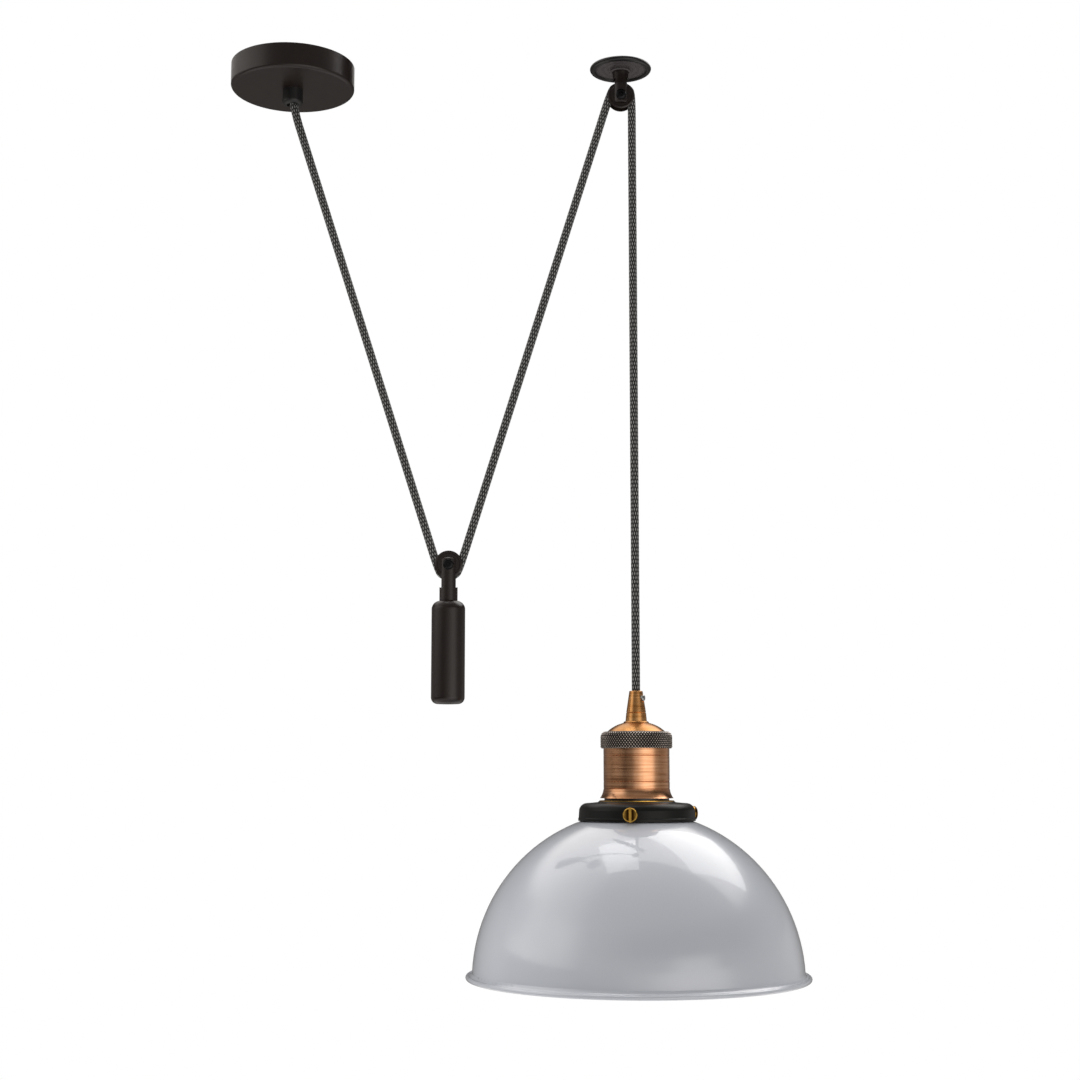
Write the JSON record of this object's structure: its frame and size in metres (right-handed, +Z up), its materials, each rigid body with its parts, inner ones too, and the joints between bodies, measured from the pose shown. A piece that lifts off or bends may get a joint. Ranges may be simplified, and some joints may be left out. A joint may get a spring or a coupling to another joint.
{
  "type": "rise and fall pendant",
  "caption": "Ceiling pendant whose flex runs round a counterweight's wheel and over a ceiling pulley to a copper lampholder with a spun dome shade; it raises and lowers.",
  "frame": {"origin": "middle of the ceiling rose on the ceiling, midway between its fixing slots", "axes": "+Z up into the ceiling, +X from the rose to the ceiling pulley, +Y away from the picture's viewer"},
  "size_m": [0.4177, 0.24, 0.6636],
  "materials": {
    "rose_powder_coat": "dark bronze powder coat, matte",
    "sheave_powder_coat": "dark bronze powder coat on turned wheels",
    "black_nylon": "moulded black nylon",
    "zinc_steel": "zinc-plated steel, pressed and turned",
    "black_oxide_steel": "black-oxide steel screws and nuts",
    "black_gloss_paint": "gloss black enamel on pressed steel",
    "antique_copper": "antique copper plate on turned brass, brushed",
    "pewter": "pewter plate, knurled",
    "bakelite": "moulded phenolic",
    "brass": "turned and pressed brass",
    "satin_black_paint": "satin black paint on spun steel",
    "white_lacquer": "gloss white lacquer on spun aluminium",
    "braided_flex": "black and grey cotton braid",
    "live_core": "brown PVC insulation",
    "neutral_core": "blue PVC insulation",
    "earth_core": "green and yellow PVC insulation",
    "white_nylon": "moulded white nylon"
  },
  "bodies": {
    "ceiling_parts": {"rose_cup": "rose_powder_coat", "rose_crossbar": "zinc_steel", "rose_locknuts": "zinc_steel", "rose_earth_screw": "zinc_steel", "rose_gland": "black_nylon", "rose_gland_collet": "black_nylon", "rose_terminal_block": "white_nylon", "rose_terminal_screws": "brass", "rose_core_live": "live_core", "rose_core_neutral": "neutral_core", "rose_core_earth": "earth_core", "pulley_plate": "black_gloss_paint", "pulley_collar": "black_gloss_paint", "ceiling_fork": "rose_powder_coat", "ceiling_bush": "brass", "ceiling_axle": "black_oxide_steel", "ceiling_axle_nut": "black_oxide_steel", "cord_rose_tail": "braided_flex", "cord_rose_leg": "braided_flex", "cord_pulley_leg": "braided_flex", "cord_pulley_bend": "braided_flex", "cord_lamp_leg": "braided_flex"},
    "ceiling_wheel": {"ceiling_sheave": "sheave_powder_coat"},
    "weight_carriage": {"weight_bush": "brass", "cord_weight_bend": "braided_flex"},
    "weight_wheel": {"weight_sheave": "sheave_powder_coat"},
    "weight": {"weight_fork": "rose_powder_coat", "weight_axle": "black_oxide_steel", "weight_axle_nut": "black_oxide_steel", "weight_body": "rose_powder_coat", "weight_screw": "black_oxide_steel"},
    "lamp": {"cord_lamp_tail": "braided_flex", "cord_grip": "antique_copper", "cord_grip_screw": "zinc_steel", "holder_nipple": "zinc_steel", "nipple_nut": "zinc_steel", "earth_tag": "brass", "holder_cap": "antique_copper", "holder_shell": "antique_copper", "socket_insulator": "bakelite", "socket_screw_shell": "brass", "centre_contact": "brass", "socket_terminals": "brass", "socket_terminal_screws": "brass", "lamp_core_live": "live_core", "lamp_core_neutral": "neutral_core", "lamp_core_earth": "earth_core", "gallery_washer": "brass", "shade_gallery": "satin_black_paint", "shade_ring_nut": "bakelite", "shade": "white_lacquer"},
    "ring": {"knurled_ring": "pewter"},
    "screw_1": {"gallery_screw_1": "brass"},
    "screw_2": {"gallery_screw_2": "brass"},
    "screw_3": {"gallery_screw_3": "brass"}
  },
  "joints": [
    {"name": "lamp_travel", "type": "slide", "parent": "ceiling_parts", "child": "lamp", "axis": [0, 0, 1], "range_m": [-0.25, 0.15], "deforming": ["cord_lamp_leg"]},
    {"name": "weight_travel", "type": "slide", "parent": "ceiling_parts", "child": "weight_carriage", "axis": [0, 0, 1], "range_m": [-0.08, 0.133], "deforming": ["cord_rose_leg", "cord_pulley_leg"]},
    {"name": "ceiling_wheel_turn", "type": "hinge", "parent": "ceiling_parts", "child": "ceiling_wheel", "pos_m": [0.244, 0, -0.0231], "axis": [0, 1, 0], "range_deg": [-1050, 1750]},
    {"name": "weight_wheel_turn", "type": "hinge", "parent": "weight_carriage", "child": "weight_wheel", "pos_m": [0.1185, 0, -0.3737], "axis": [0, 1, 0], "range_deg": [-875, 525]},
    {"name": "weight_swing", "type": "hinge", "parent": "weight_carriage", "child": "weight", "pos_m": [0.1185, 0, -0.3737], "axis": [0, 1, 0], "range_deg": [-20, 20]},
    {"name": "ring_turn", "type": "hinge", "parent": "lamp", "child": "ring", "pos_m": [0.2522, 0, -0.5], "axis": [0, 0, 1], "continuous": true},
    {"name": "screw_1_travel", "type": "slide", "parent": "lamp", "child": "screw_1", "axis": [-0.1564, -0.9877, 0], "range_m": [0, 0.004]},
    {"name": "screw_2_travel", "type": "slide", "parent": "lamp", "child": "screw_2", "axis": [0.9336, 0.3584, 0], "range_m": [0, 0.004]},
    {"name": "screw_3_travel", "type": "slide", "parent": "lamp", "child": "screw_3", "axis": [-0.7771, 0.6293, 0], "range_m": [0, 0.004]}
  ],
  "couplings": [
    {"joint": "weight_travel", "follows": "lamp_travel", "ratio": -0.53},
    {"joint": "ceiling_wheel_turn", "follows": "lamp_travel", "rad_per_m": -121.95},
    {"joint": "weight_wheel_turn", "follows": "lamp_travel", "rad_per_m": 60.98}
  ]
}
